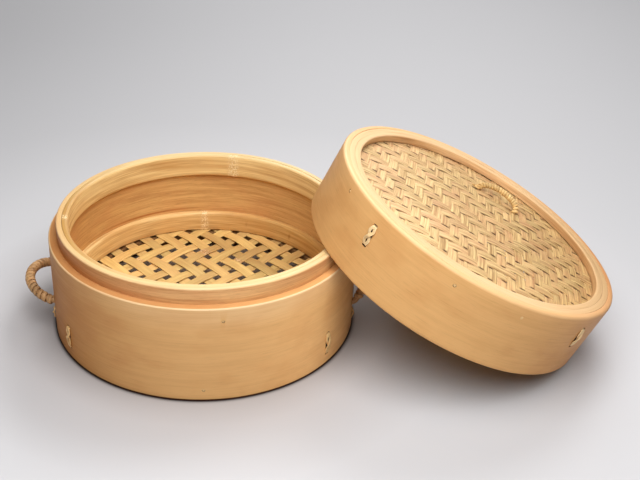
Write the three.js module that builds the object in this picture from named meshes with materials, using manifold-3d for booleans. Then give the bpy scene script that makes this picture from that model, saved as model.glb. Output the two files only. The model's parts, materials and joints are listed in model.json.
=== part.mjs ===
// Wooden steamer basket: a round tier with a woven bamboo floor, and its woven lid leaning on the rim.
// Millimetres, +Z up. The basket's own axis is x = y = 0 until the last lines move the whole part,
// and +X runs from the basket towards the lid. The lid is built upright in a frame of its own,
// with z = 0 at the lower edge of its skirt, and a group leans it.

import * as THREE from 'three';
import { mergeVertices } from 'three/addons/utils/BufferGeometryUtils.js';
import Module from 'manifold-3d';

const wasm = await Module();
wasm.setup();

const DEG = Math.PI / 180;

// Clearances and fineness
const seam = 0.3; // between pieces that are pegged, clamped or tied together
const facets = 64; // sides of every round band, a multiple of 4

// Basket: two bent wood bands, one inside the other, with three bamboo hoops inside them
const outerRadius = 150;
const outerBandWall = 7.9;
const shoulderHeight = 98; // top of the outer band, where the lid's skirt sits
const outerBandRound = 2;
const innerBandWall = 5.1;
const lipRise = 15; // the inner band stands this far above the shoulder
const lipRound = 1.2;
const upperHoopWall = 5.1;
const upperHoopHeight = 25;
const lowerHoopWall = 6.4;
const lowerHoopHeight = 21.5;
const footHoopHeight = 12.3;
const footHoopWall = 6.4;

// Woven floor: two sets of bamboo strips, each over two and under two of the other set
const floorHeight = 17.6; // underside of the lower strips
const stripThickness = 1.4;
const warpWidth = 13;
const weftWidth = 12.2;
const warpPitch = 19.6;
const weftPitch = 18.7;
const warpHeading = 135.6; // degrees from +X, the way the warp strips run
const weftHeading = 50.4;
const warpShift = 17; // from the basket's axis to the middle of warp strip 0
const weftShift = 2.8;
const twill = 2; // strips passed over, then under
const floorGrip = 6; // how far the strips reach in between the two lower hoops

// Lashings: a flat cane strand through a low and a high hole, crossed like an 8 outside
const strandWidth = 1.8;
const strandThickness = 1;
const strandSpread = 2.4; // middle to middle of the two strands in a hole
const strandBulge = 3;
const strandLift = 1.4; // clear between the two strands where they cross
const slotPlay = 0.4;
const slotHeight = 3.2;
const lashingLow = 11.7;
const lashingHigh = 34.6;
const tieHigh = 24.5; // the upper hole of the ties below the side handles
const lashingHeadings = [-141.5, -34];

// Side handles: a bent cane core in two holes of the outer band, with a flat strand wound on it
const sideHandleHeadings = [184.6, 4.6];
const sideHandleSpan = 68;
const sideHandleReach = 27.5;
const sideHandleStem = 2; // level part of each leg outside the wall
const sideHandleRises = [21, 54]; // degrees above level, as photographed
const sideHandleHeight = 32;
const sideCoreRadius = 3.2;
const sideHandleGive = 10; // degrees each way that the holes allow
const windingThickness = 1.2;
const windingWidth = 3;
const sideWindingTurns = 18;
const sideLegShort = 2; // the legs stop this far before the outer band's inner face
const sideBare = 8.5; // from the wall's face to the first turn

// Lid: a skirt that goes over the lip, a ring of bands round a sunk mat, and a small wound handle
const lidHeight = 70;
const lidSkirtWall = 6;
const lidRound = 3;
const lidSeamRound = 0.8;
const lidInnerBandWall = 5.7;
const lidInnerBandHeight = 41;
const lidHoopWall = 6.3;
const lidRimHoopHeight = 8;
const lidClampHoopHeight = 28;
const matThickness = 2;
const matRise = 3;
const matGrip = 5; // how far the mat reaches in between its two hoops
const matFacets = 32;
const lidLashingDrop = 13.6; // from the lid's top down to a lashing's upper hole
const lidLashingReach = 21.1; // from there down to its lower hole
const lidLashingHeadings = [-139, -48.5, 41.5, 131.5];
const lidHandleSpan = 45;
const lidHandleReach = 11;
const lidHandleTwist = -26; // heading of the line through its two holes
const lidHandleOffset = 77; // from the lid's axis to the handle's middle
const lidHandleHeading = 64;
const lidHandleLean = 45; // degrees from upright, towards the lid's rim
const lidCoreRadius = 1.7;
const lidWindingThickness = 0.8;
const lidWindingWidth = 1.3;
const lidWindingTurns = 19;
const lidHandleGive = 8;
const lidHandleStem = 1.4; // the legs stand this far out of the mat before they lean
const lidHandleBare = 2.4; // from there to the first turn
const backingWidth = 14;
const backingThickness = 4;
const backingOverhang = 12;

// The lid's place as photographed: its skirt's edge lies on the basket's lip and on the table
const leanBite = 17.6; // how far the lid's inner edge reaches past the two points where it lies on the lip
const pegRadius = 1.6;
const pegAhead = 25; // from the lid's axis to its two pivot pegs, down the slope
const pegHeight = 58.2;

// Sizes that follow
const lipRadius = outerRadius - outerBandWall - seam;
const hoopRadius = lipRadius - innerBandWall - seam;
const lipHeight = shoulderHeight + lipRise;
const layerStep = stripThickness + seam;
const floorTop = floorHeight + stripThickness + layerStep;
const lowerHoopBottom = floorTop + seam;
const footHoopTop = floorHeight - seam;
const lowerHoopRadius = hoopRadius - lowerHoopWall;
const footHoopRadius = hoopRadius - footHoopWall;
const floorRadius = Math.max(lowerHoopRadius, footHoopRadius) + floorGrip;
const slotWidth = strandSpread + strandWidth + 2 * slotPlay;
const lidSkirtRadius = outerRadius - lidSkirtWall;
const lidBandRadius = lidSkirtRadius - seam;
const lidHoopRadius = lidBandRadius - lidInnerBandWall - seam;
const recessRadius = lidHoopRadius - lidHoopWall;
const lidLashingHigh = lidHeight - lidLashingDrop;
const lidLashingLow = lidLashingHigh - lidLashingReach;
const rimHoopBottom = lidHeight - lidRimHoopHeight;
const matTop = rimHoopBottom - seam;
const matBottom = matTop - matThickness;
const clampHoopTop = matBottom - seam;

// Colours and finishes
const wood = { color: 0xcf9c63, roughness: 0.55, metalness: 0 };
const reddishWood = { color: 0xd08f55, roughness: 0.5, metalness: 0 };
const bamboo = { color: 0xe0b26c, roughness: 0.45, metalness: 0 };
const paleBamboo = { color: 0xeec68a, roughness: 0.5, metalness: 0 };
const cane = { color: 0xd9a75f, roughness: 0.5, metalness: 0 };

function toManifold(geometry) {
  const bare = geometry.clone();
  bare.deleteAttribute('normal');
  bare.deleteAttribute('uv');
  const merged = mergeVertices(bare, 1e-4);
  const vertProperties = new Float32Array(merged.attributes.position.array);
  const triVerts = new Uint32Array(merged.index.array);
  return new wasm.Manifold(new wasm.Mesh({ numProp: 3, vertProperties, triVerts }));
}

function toGeometry(solid) {
  const mesh = solid.getMesh();
  const geometry = new THREE.BufferGeometry();
  geometry.setAttribute('position', new THREE.BufferAttribute(new Float32Array(mesh.vertProperties), 3));
  geometry.setIndex(new THREE.BufferAttribute(new Uint32Array(mesh.triVerts), 1));
  geometry.computeVertexNormals();
  return geometry;
}

function largestPiece(solid) {
  const pieces = solid.decompose();
  return pieces.reduce((best, piece) => (piece.volume() > best.volume() ? piece : best));
}

function node(name, geometry, finish) {
  const mesh = new THREE.Mesh(geometry, new THREE.MeshStandardMaterial(finish));
  mesh.name = name;
  return mesh;
}

// A band: the section of a ring turned about Z, with rounded top corners where they are given
function band(inner, outer, bottom, top, outerRound = 0, innerRound = 0) {
  const profile = [new THREE.Vector2(outer, bottom)];
  const corner = (centreX, centreY, radius, from, to) => {
    const steps = 2;
    for (let i = 0; i <= steps; i += 1) {
      const angle = from + ((to - from) * i) / steps;
      profile.push(new THREE.Vector2(centreX + radius * Math.cos(angle), centreY + radius * Math.sin(angle)));
    }
  };
  if (outerRound > 0) corner(outer - outerRound, top - outerRound, outerRound, 0, Math.PI / 2);
  else profile.push(new THREE.Vector2(outer, top));
  if (innerRound > 0) corner(inner + innerRound, top - innerRound, innerRound, Math.PI / 2, Math.PI);
  else profile.push(new THREE.Vector2(inner, top));
  profile.push(new THREE.Vector2(inner, bottom), new THREE.Vector2(outer, bottom));
  return new THREE.LatheGeometry(profile, facets).rotateX(Math.PI / 2);
}

function boxAt(heading, radial, tangential, low, high) {
  const [near, far] = radial;
  const box = new THREE.BoxGeometry(far - near, tangential, high - low);
  box.translate((near + far) / 2, 0, (low + high) / 2);
  return toManifold(box.rotateZ(heading * DEG));
}

// A slot for a lashing's two strands, through every layer of the wall
function lashingSlot(heading, height) {
  return boxAt(heading, [recessRadius - lidHoopWall, outerRadius + lidSkirtWall], slotWidth, height - slotHeight / 2, height + slotHeight / 2);
}

function cutAll(geometry, cutters) {
  return toGeometry(cutters.reduce((solid, cutter) => solid.subtract(cutter), toManifold(geometry)));
}

// Joins rings of points into one skin, closed on itself or capped at its two ends
function skin(rings, closed) {
  const sides = rings[0].length;
  const positions = rings.flat().flatMap((point) => point.toArray());
  const index = [];
  const last = closed ? rings.length : rings.length - 1;
  for (let i = 0; i < last; i += 1) {
    const here = i * sides;
    const next = ((i + 1) % rings.length) * sides;
    for (let j = 0; j < sides; j += 1) {
      const k = (j + 1) % sides;
      index.push(here + j, here + k, next + k, here + j, next + k, next + j);
    }
  }
  if (!closed) {
    const end = (rings.length - 1) * sides;
    for (let j = 1; j < sides - 1; j += 1) {
      index.push(0, j + 1, j);
      index.push(end, end + j, end + j + 1);
    }
  }
  const corner = (i) => new THREE.Vector3().fromArray(positions, 3 * i);
  let volume = 0;
  for (let i = 0; i < index.length; i += 3) {
    volume += corner(index[i]).dot(corner(index[i + 1]).cross(corner(index[i + 2])));
  }
  if (volume < 0) index.reverse();
  const geometry = new THREE.BufferGeometry();
  geometry.setAttribute('position', new THREE.Float32BufferAttribute(positions, 3));
  geometry.setIndex(index);
  geometry.computeVertexNormals();
  return geometry;
}

// A flat strand's four corners about a point, wide along one direction and thin along the other
function strandCorners(point, wide, thin, width, thickness) {
  const corner = (a, b) => point.clone().addScaledVector(wide, (a * width) / 2).addScaledVector(thin, (b * thickness) / 2);
  return [corner(-1, -1), corner(1, -1), corner(1, 1), corner(-1, 1)];
}

// One lashing: the strand goes out at the high hole, crosses to the low one, comes up inside and
// goes round once more the other way, over its own first crossing
function lashing(heading, low, high, inside) {
  const bend = 1.5;
  const face = outerRadius + seam + strandThickness / 2;
  const back = inside - seam - strandThickness / 2;
  const side = strandSpread / 2;
  const middle = (low + high) / 2;
  const quarter = (high - low) / 4;
  const lift = strandThickness + strandLift;
  const turn = (from, over) => [
    [face - bend, from * side, high],
    [face, from * side, high - bend],
    [face, from * strandBulge, high - quarter],
    [face + over, 0, middle],
    [face, -from * strandBulge, low + quarter],
    [face, -from * side, low + bend],
    [face - bend, -from * side, low],
    [back + bend, -from * side, low],
    [back, -from * side, low + bend],
    [back, -from * side, high - bend],
    [back + bend, -from * side, high],
  ];
  const path = [...turn(-1, 0), ...turn(1, lift)].map((p) => new THREE.Vector3(...p));
  const across = new THREE.Vector3(0, 1, 0);
  const rings = path.map((point, i) => {
    const before = path[(i + path.length - 1) % path.length];
    const after = path[(i + 1) % path.length];
    const along = after.clone().sub(before).normalize();
    const wide = across.clone().addScaledVector(along, -across.dot(along)).normalize();
    const thin = new THREE.Vector3().crossVectors(along, wide);
    return strandCorners(point, wide, thin, strandWidth, strandThickness);
  });
  return skin(rings, true).rotateZ(heading * DEG);
}

// A handle's core: two legs and an arch between them, as one smooth centre line
function archLine(span, reach, rise, leg, riser) {
  const points = [new THREE.Vector3(-leg, -span / 2, 0), new THREE.Vector3(-leg / 2, -span / 2, 0)];
  const steps = 8;
  for (let i = 0; i <= steps; i += 1) {
    const angle = (Math.PI * i) / steps;
    const out = reach * Math.sin(angle);
    const along = (-span / 2) * Math.cos(angle);
    points.push(new THREE.Vector3(riser + out * Math.cos(rise), along, out * Math.sin(rise)));
  }
  points.push(new THREE.Vector3(-leg / 2, span / 2, 0), new THREE.Vector3(-leg, span / 2, 0));
  return new THREE.CatmullRomCurve3(points, false, 'centripetal');
}

// A frame that doesn't twist along a nearly flat curve: the arch plane's normal and its cross product
function archFrame(line, at, rise) {
  const point = line.getPointAt(at);
  const along = line.getTangentAt(at);
  const normal = new THREE.Vector3(-Math.sin(rise), 0, Math.cos(rise));
  normal.addScaledVector(along, -normal.dot(along)).normalize();
  return { point, along, normal, side: new THREE.Vector3().crossVectors(along, normal) };
}

function archCore(line, rise, radius) {
  const steps = 26;
  const sides = 8;
  const rings = [];
  for (let i = 0; i <= steps; i += 1) {
    const { point, normal, side } = archFrame(line, i / steps, rise);
    const ring = [];
    for (let j = 0; j < sides; j += 1) {
      const angle = (2 * Math.PI * (j + 0.5)) / sides;
      ring.push(point.clone().addScaledVector(normal, radius * Math.cos(angle)).addScaledVector(side, radius * Math.sin(angle)));
    }
    rings.push(ring);
  }
  return skin(rings, false);
}

// The strand wound on a core: one unbroken flat strip, whose turns keep a small gap
function archWinding(name, line, rise, coreRadius, width, thickness, turns, bareEnd) {
  const stepsPerTurn = 8;
  const steps = turns * stepsPerTurn;
  const start = bareEnd / line.getLength();
  const coilRadius = coreRadius / Math.cos(Math.PI / 8) + seam + thickness / 2;
  const rings = [];
  for (let i = 0; i <= steps; i += 1) {
    const at = start + ((1 - 2 * start) * i) / steps;
    const angle = (2 * Math.PI * i) / stepsPerTurn;
    const { point, along, normal, side } = archFrame(line, at, rise);
    const out = normal.clone().multiplyScalar(Math.cos(angle)).addScaledVector(side, Math.sin(angle));
    rings.push(strandCorners(point.addScaledVector(out, coilRadius), along, out, width, thickness));
  }
  let least = Infinity;
  for (let i = 0; i + stepsPerTurn <= steps; i += 1) {
    for (const a of rings[i]) {
      for (const b of rings[i + stepsPerTurn]) least = Math.min(least, a.distanceTo(b));
    }
  }
  console.log(`${name}: least gap between turns ${least.toFixed(2)} mm`);
  return skin(rings, false);
}

// Basket bands and hoops, with the lashings' slots and the side handles' holes
function basketLashingHoles() {
  const tieHeadings = sideHandleHeadings.flatMap((heading) => [heading - sideHandleAngle, heading + sideHandleAngle]);
  const highs = [...lashingHeadings.map((h) => [h, lashingHigh]), ...tieHeadings.map((h) => [h, tieHigh])];
  return { ties: tieHeadings, highs, lows: highs.map(([heading]) => [heading, lashingLow]) };
}

const sideHandleRoot = Math.sqrt(outerRadius ** 2 - (sideHandleSpan / 2) ** 2); // wall's face at a leg
const sideHandleAngle = Math.asin(sideHandleSpan / 2 / outerRadius) / DEG;
const sideHandleLeg = outerBandWall - sideLegShort;
const sideHoleHalfHeight = sideCoreRadius / Math.cos(sideHandleGive * DEG)
  + (outerBandWall / 2) * Math.tan(sideHandleGive * DEG) + 2 * seam;

function sideHandleHole(heading, side) {
  const hole = new THREE.CylinderGeometry(1, 1, outerBandWall * 4, 16).rotateZ(Math.PI / 2);
  hole.scale(1, sideCoreRadius + 2 * seam, sideHoleHalfHeight);
  hole.translate(sideHandleRoot, (side * sideHandleSpan) / 2, sideHandleHeight);
  return toManifold(hole.rotateZ(heading * DEG));
}

const { ties, highs, lows } = basketLashingHoles();
const highSlots = highs.map(([heading, height]) => lashingSlot(heading, height));
const lowSlots = lows.map(([heading, height]) => lashingSlot(heading, height));
const handleHoles = sideHandleHeadings.flatMap((heading) => [-1, 1].map((side) => sideHandleHole(heading, side)));

const basket = new THREE.Group();
const outerBand = band(lipRadius + seam, outerRadius, 0, shoulderHeight, outerBandRound);
basket.add(node('outer_band', cutAll(outerBand, [...highSlots, ...lowSlots, ...handleHoles]), wood));
const innerBand = band(hoopRadius + seam, lipRadius, 0, lipHeight, lipRound);
basket.add(node('inner_band', cutAll(innerBand, [...highSlots, ...lowSlots]), reddishWood));
const upperHoop = band(hoopRadius - upperHoopWall, hoopRadius, lipHeight - upperHoopHeight, lipHeight, 0, lipRound);
basket.add(node('upper_hoop', cutAll(upperHoop, []), bamboo));
const lowerHoop = band(lowerHoopRadius, hoopRadius, lowerHoopBottom, lowerHoopBottom + lowerHoopHeight, 0, lipRound);
basket.add(node('lower_hoop', cutAll(lowerHoop, highSlots), bamboo));
const footHoop = band(footHoopRadius, hoopRadius, footHoopTop - footHoopHeight, footHoopTop);
basket.add(node('foot_hoop', cutAll(footHoop, lowSlots), bamboo));

// Floor strips. A strip is its side view, a band that steps up and down, given its width, cut to the
// round and notched where a lashing comes up past its end
const direction = (degrees) => new THREE.Vector2(Math.cos(degrees * DEG), Math.sin(degrees * DEG));
const warpAlong = direction(warpHeading);
const weftAlong = direction(weftHeading);
const warpAcross = direction(warpHeading - 90);
const weftAcross = direction(weftHeading + 90);
const disc = toManifold(new THREE.CylinderGeometry(floorRadius, floorRadius, shoulderHeight, facets).rotateX(Math.PI / 2));
const notchInner = Math.min(lowerHoopRadius, footHoopRadius) - 2 * seam - strandThickness - slotPlay;
const notches = highs.map(([heading]) => boxAt(heading, [notchInner, outerRadius], slotWidth, 0, floorTop + 1));

function stripsWithin(shift, pitch) {
  const strips = [];
  const reach = Math.floor((2 * floorRadius) / pitch);
  for (let i = -reach; i <= reach; i += 1) {
    const offset = shift + i * pitch;
    if (Math.abs(offset) < floorRadius - 0.3 * pitch) strips.push({ number: i, offset });
  }
  return strips;
}

function warpIsOver(warpNumber, weftNumber) {
  const period = 2 * twill;
  const place = (((warpNumber + weftNumber) % period) + period) % period;
  return place >= twill;
}

function floorStrip(own, along, across, width, others, otherAcross, otherWidth, isOver) {
  const skew = Math.abs(along.dot(otherAcross));
  const halfZone = (otherWidth / 2 + (width / 2) * Math.sqrt(1 - skew * skew)) / skew;
  const levels = others.map((other) => {
    const place = (other.offset - own.offset * across.dot(otherAcross)) / along.dot(otherAcross);
    return { place, height: floorHeight + (isOver(own, other) ? layerStep : 0) };
  });
  levels.sort((a, b) => a.place - b.place);
  const under = [];
  levels.forEach(({ place, height }, i) => {
    if (i === 0 || levels[i - 1].height !== height) under.push(new THREE.Vector2(place - halfZone, height));
    if (i === levels.length - 1 || levels[i + 1].height !== height) under.push(new THREE.Vector2(place + halfZone, height));
  });
  under[0].x = Math.min(under[0].x, -outerRadius);
  under[under.length - 1].x = Math.max(under[under.length - 1].x, outerRadius);
  const over = under.map((point) => new THREE.Vector2(point.x, point.y + stripThickness)).reverse();
  const side = new THREE.ExtrudeGeometry(new THREE.Shape([...under, ...over]), { depth: width, bevelEnabled: false, steps: 1 });
  const place = new THREE.Matrix4().makeBasis(
    new THREE.Vector3(along.x, along.y, 0),
    new THREE.Vector3(0, 0, 1),
    new THREE.Vector3(along.y, -along.x, 0),
  );
  const flip = Math.sign(new THREE.Vector2(along.y, -along.x).dot(across));
  const start = across.clone().multiplyScalar(own.offset - (flip * width) / 2);
  side.applyMatrix4(place.setPosition(start.x, start.y, 0));
  const cut = notches.reduce((solid, notch) => solid.subtract(notch), toManifold(side).intersect(disc));
  return toGeometry(largestPiece(cut));
}

const warps = stripsWithin(warpShift, warpPitch);
const wefts = stripsWithin(weftShift, weftPitch);
const twoDigits = (number) => String(number).padStart(2, '0');
warps.forEach((warp, i) => {
  const isOver = (own, other) => warpIsOver(own.number, other.number);
  const strip = floorStrip(warp, warpAlong, warpAcross, warpWidth, wefts, weftAcross, weftWidth, isOver);
  basket.add(node(`floor_warp_${twoDigits(i + 1)}`, strip, paleBamboo));
});
wefts.forEach((weft, i) => {
  const isOver = (own, other) => !warpIsOver(other.number, own.number);
  const strip = floorStrip(weft, weftAlong, weftAcross, weftWidth, warps, warpAcross, warpWidth, isOver);
  basket.add(node(`floor_weft_${twoDigits(i + 1)}`, strip, paleBamboo));
});

const basketBack = Math.min(lowerHoopRadius, footHoopRadius);
lashingHeadings.forEach((heading, i) => {
  basket.add(node(`lashing_${i + 1}`, lashing(heading, lashingLow, lashingHigh, basketBack), cane));
});
ties.forEach((heading, i) => {
  basket.add(node(`handle_tie_${i + 1}`, lashing(heading, lashingLow, tieHigh, basketBack), cane));
});

// Side handles, each built on +X at its holes and turned to its heading
function sideHandle(label, heading, degrees) {
  const rise = degrees * DEG;
  const line = archLine(sideHandleSpan, sideHandleReach, rise, sideHandleLeg, sideHandleStem);
  const bareEnd = sideHandleLeg + sideBare;
  const core = archCore(line, rise, sideCoreRadius);
  const name = `${label}_handle_winding`;
  const winding = archWinding(name, line, rise, sideCoreRadius, windingWidth, windingThickness, sideWindingTurns, bareEnd);
  const handle = new THREE.Group();
  for (const [piece, geometry] of [[`${label}_handle_core`, core], [name, winding]]) {
    geometry.translate(sideHandleRoot, 0, sideHandleHeight);
    handle.add(node(piece, geometry, cane));
  }
  handle.rotation.z = heading * DEG;
  return handle;
}
basket.add(sideHandle('left', sideHandleHeadings[0], sideHandleRises[0]));
basket.add(sideHandle('right', sideHandleHeadings[1], sideHandleRises[1]));

// Lid
const lid = new THREE.Group();
const lidSlots = lidLashingHeadings.flatMap((heading) => [lidLashingLow, lidLashingHigh].map((z) => lashingSlot(heading, z)));
const pegBores = [-1, 1].map((side) => {
  const bore = new THREE.CylinderGeometry(pegRadius + seam, pegRadius + seam, 4 * lidSkirtWall, 16);
  return toManifold(bore.translate(pegAhead, side * outerRadius, pegHeight));
});
const lidSkirt = band(lidSkirtRadius, outerRadius, 0, lidHeight, lidRound);
lid.add(node('lid_outer_band', cutAll(lidSkirt, [...lidSlots, ...pegBores]), wood));
const lidInnerBand = band(lidHoopRadius + seam, lidBandRadius, lidHeight - lidInnerBandHeight, lidHeight - seam, lidSeamRound);
lid.add(node('lid_inner_band', cutAll(lidInnerBand, lidSlots), wood));
const rimHoop = band(recessRadius, lidHoopRadius, rimHoopBottom, lidHeight - seam, 0, lipRound);
lid.add(node('lid_rim_hoop', cutAll(rimHoop, []), wood));
const clampHoop = band(recessRadius, lidHoopRadius, clampHoopTop - lidClampHoopHeight, clampHoopTop);
lid.add(node('lid_clamp_hoop', cutAll(clampHoop, lidSlots), bamboo));
lidLashingHeadings.forEach((heading, i) => {
  lid.add(node(`lid_lashing_${i + 1}`, lashing(heading, lidLashingLow, lidLashingHigh, recessRadius), cane));
});

// The mat: a shallow dome whose flat edge is gripped between the rim hoop and the clamp hoop
const domeRadius = recessRadius - 2 * seam;
const domeAt = (radius) => matRise * Math.max(0, 1 - (radius / domeRadius) ** 2);
function matGeometry() {
  const steps = 5;
  const edge = recessRadius + matGrip;
  const dome = Array.from({ length: steps + 1 }, (_, i) => (domeRadius * i) / steps);
  const under = dome.map((radius) => new THREE.Vector2(radius, matBottom + domeAt(radius)));
  const over = dome.map((radius) => new THREE.Vector2(radius, matTop + domeAt(radius))).reverse();
  const rim = [new THREE.Vector2(edge, matBottom), new THREE.Vector2(edge, matTop)];
  return new THREE.LatheGeometry([...under, ...rim, ...over], matFacets).rotateX(Math.PI / 2);
}

// The lid handle stands on the mat, with its legs through the mat and the backing bar below it
const lidHandlePlace = direction(lidHandleHeading).multiplyScalar(lidHandleOffset);
const lidHandleTop = matTop + domeAt(lidHandleOffset);
const barLength = lidHandleSpan + 2 * backingOverhang;
const barFar = Math.hypot(lidHandleOffset + backingWidth / 2, barLength / 2);
const barTop = matBottom + domeAt(barFar) - seam;
const lidPivotHeight = lidHandleTop - matThickness / 2;
const lidHandleLeg = lidPivotHeight - barTop + backingThickness / 2;
const lidHoleHalf = lidCoreRadius / Math.cos(lidHandleGive * DEG) + lidHandleLeg * Math.tan(lidHandleGive * DEG) + 2 * seam;
const lidHandleFrame = new THREE.Matrix4().makeBasis(
  new THREE.Vector3(0, 0, 1),
  new THREE.Vector3(Math.cos(lidHandleTwist * DEG), Math.sin(lidHandleTwist * DEG), 0),
  new THREE.Vector3(-Math.sin(lidHandleTwist * DEG), Math.cos(lidHandleTwist * DEG), 0),
);
lidHandleFrame.setPosition(lidHandlePlace.x, lidHandlePlace.y, lidPivotHeight);
const lidHandleHoles = [-1, 1].map((side) => {
  const hole = new THREE.CylinderGeometry(1, 1, 8 * backingThickness, 16).rotateZ(Math.PI / 2);
  hole.scale(1, lidCoreRadius + 2 * seam, lidHoleHalf).translate(0, (side * lidHandleSpan) / 2, 0);
  return toManifold(hole.applyMatrix4(lidHandleFrame));
});
lid.add(node('lid_mat', cutAll(matGeometry(), lidHandleHoles), paleBamboo));
const backing = new THREE.BoxGeometry(backingThickness, barLength, backingWidth);
backing.translate(barTop - backingThickness / 2 - lidPivotHeight, 0, 0).applyMatrix4(lidHandleFrame);
lid.add(node('lid_backing_bar', cutAll(backing, lidHandleHoles), bamboo));

const lean = lidHandleLean * DEG;
const lidHandleRiser = matThickness / 2 + lidHandleStem;
const lidLine = archLine(lidHandleSpan, lidHandleReach, lean, lidHandleLeg, lidHandleRiser);
const lidCore = archCore(lidLine, lean, lidCoreRadius);
const lidBareEnd = lidHandleLeg + lidHandleRiser + lidHandleBare;
const lidWindingName = 'lid_handle_winding';
const lidWinding = archWinding(
  lidWindingName, lidLine, lean, lidCoreRadius, lidWindingWidth, lidWindingThickness, lidWindingTurns, lidBareEnd,
);
lid.add(node('lid_handle_core', lidCore.applyMatrix4(lidHandleFrame), cane));
lid.add(node(lidWindingName, lidWinding.applyMatrix4(lidHandleFrame), cane));

// Two round pegs in the lid's skirt, about which it tips as it is lifted and set down
const pegOuter = Math.sqrt(outerRadius ** 2 - pegAhead ** 2);
const pegLength = lidSkirtWall - seam;
[-1, 1].forEach((side, i) => {
  const peg = new THREE.CylinderGeometry(pegRadius, pegRadius, pegLength, 16);
  peg.translate(pegAhead, side * (pegOuter - pegLength / 2), pegHeight);
  lid.add(node(`lid_peg_${i + 1}`, peg, bamboo));
});

// The lean: the lid's lower edge is on the table on one side and over the basket's lip on the other,
// where the inner edge of its skirt meets the lip's outer edge in two points
const crossing = leanBite - lidSkirtRadius;
const leanSine = (lipHeight + seam) / (outerRadius - crossing);
const leanCosine = Math.sqrt(1 - leanSine ** 2);
const crossingWidth = Math.sqrt(lidSkirtRadius ** 2 - crossing ** 2);
const lidX = Math.sqrt(lipRadius ** 2 - crossingWidth ** 2) - crossing * leanCosine;
lid.rotation.y = Math.asin(leanSine);
lid.position.set(lidX, 0, outerRadius * leanSine);

const part = new THREE.Group();
part.add(basket, lid);
part.updateMatrixWorld(true);
const box = new THREE.Box3().setFromObject(part, true);
const middle = box.getCenter(new THREE.Vector3());
part.position.set(-middle.x, -middle.y, -box.min.z);
console.log(`size ${box.getSize(new THREE.Vector3()).toArray().map((v) => v.toFixed(2)).join(' x ')}`);
console.log(`basket axis at x ${(-middle.x).toFixed(3)}, y ${(-middle.y).toFixed(3)}; lid origin ${lidX.toFixed(3)} from it`);

export default part;
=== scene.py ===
import json
import random
from math import asin, atan2, copysign, cos, degrees, exp, hypot, pi, radians, remainder, sin, sqrt

import bmesh
import bpy
from mathutils import Matrix, Vector

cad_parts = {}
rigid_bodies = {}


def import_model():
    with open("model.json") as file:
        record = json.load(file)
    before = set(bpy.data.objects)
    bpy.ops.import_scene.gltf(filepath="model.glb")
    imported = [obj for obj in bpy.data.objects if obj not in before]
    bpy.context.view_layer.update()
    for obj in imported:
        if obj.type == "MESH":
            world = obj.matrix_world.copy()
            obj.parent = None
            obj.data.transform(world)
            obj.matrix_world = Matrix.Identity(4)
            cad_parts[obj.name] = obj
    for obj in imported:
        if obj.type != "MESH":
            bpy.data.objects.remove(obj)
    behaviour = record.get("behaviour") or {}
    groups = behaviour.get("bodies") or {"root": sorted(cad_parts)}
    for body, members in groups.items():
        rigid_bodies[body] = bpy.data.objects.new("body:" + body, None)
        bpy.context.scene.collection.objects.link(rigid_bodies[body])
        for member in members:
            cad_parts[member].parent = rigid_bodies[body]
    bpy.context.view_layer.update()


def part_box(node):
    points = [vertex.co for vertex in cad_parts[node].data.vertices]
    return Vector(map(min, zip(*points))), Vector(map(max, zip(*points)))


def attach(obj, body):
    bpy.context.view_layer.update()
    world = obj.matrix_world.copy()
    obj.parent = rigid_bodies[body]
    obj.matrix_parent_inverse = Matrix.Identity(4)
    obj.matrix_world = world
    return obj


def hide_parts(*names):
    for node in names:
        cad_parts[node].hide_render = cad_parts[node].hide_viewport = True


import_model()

TO_M, TO_MM = 0.001, 1000  # shapes are made in millimetres, and the scene is in metres

# Sizes in millimetres, as in the part's source. R is an outer radius unless a comment says otherwise, and
# INSIDE an inner one.
OUTER_R = 150.0  # the outer bands of basket and lid
LIP_R = 141.8
HOOP_R = 136.4
WALL_INSIDE = 141.95
LIP_INSIDE = 136.5
UPPER_HOOP_INSIDE = 131.3
LOWER_HOOP_INSIDE = 130.0
SHOULDER = 98.0  # top of the basket's outer band, where the lid sits
LIP_TOP = 113.0
UPPER_HOOP_LOW = 88.0
LOWER_HOOP_TALL = 21.8
FOOT_HOOP_LOW = 5
FLOOR_Z, FLOOR_TOP = 17.6, 20.7
WEAVE_Z = (FLOOR_Z + FLOOR_TOP) / 2
LASH_LOW, LASH_HIGH, TIE_HIGH = 11.7, 34.6, 24.5
LASHINGS = (-141.5, -34.0)  # headings in degrees about the basket's axis, as in the other lists of places
HANDLES = {"left": 184.6, "right": 4.6}
HANDLE_SPAN, HANDLE_REACH, HANDLE_STEM, HANDLE_LEG, HANDLE_Z = 68.0, 27.5, 2.0, 5.9, 32.0
HANDLE_RISE = {"left": radians(21), "right": radians(54)}
HANDLE_ROD, HANDLE_TURNS = 3.0, 20
LID_H = 70.0
LID_SKIRT_R = 144.0  # inner radius of the lid's outer band
LID_BAND_R, LID_BAND_INSIDE, LID_BAND_LOW = 143.7, 137.95, 29
LID_HOOP_R = 137.7
RECESS_R = 131.4  # inner radius of the two rings that hold the mat
RIM_LOW = 62
CLAMP_LOW, CLAMP_TOP = 31.4, 59.4
MAT_TOP, MAT_RISE, MAT_THICK = 61.7, 3.0, 2.0
LID_LOW, LID_HIGH = 35.3, 56.4
LID_LASHINGS = (-139.0, -48.5, 41.5, 131.5)
LID_HANDLE_SPAN, LID_HANDLE_REACH, LID_HANDLE_STEM, LID_HANDLE_LEG = 45, 11, 2.4, 3.5
LID_HANDLE_HEADING, LID_HANDLE_OUT = 64.0, 77.0
LID_HANDLE_TWIST, LID_HANDLE_LEAN = radians(-26), radians(45)
LID_ROD, LID_HANDLE_TURNS = 1.6, 19
PIVOT_X, PIVOT_Z = 25, 58.2
LEAN_BITE = 17.6  # how far the lip reaches into the leaning lid
LEAN_GAP = 0.3
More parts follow.
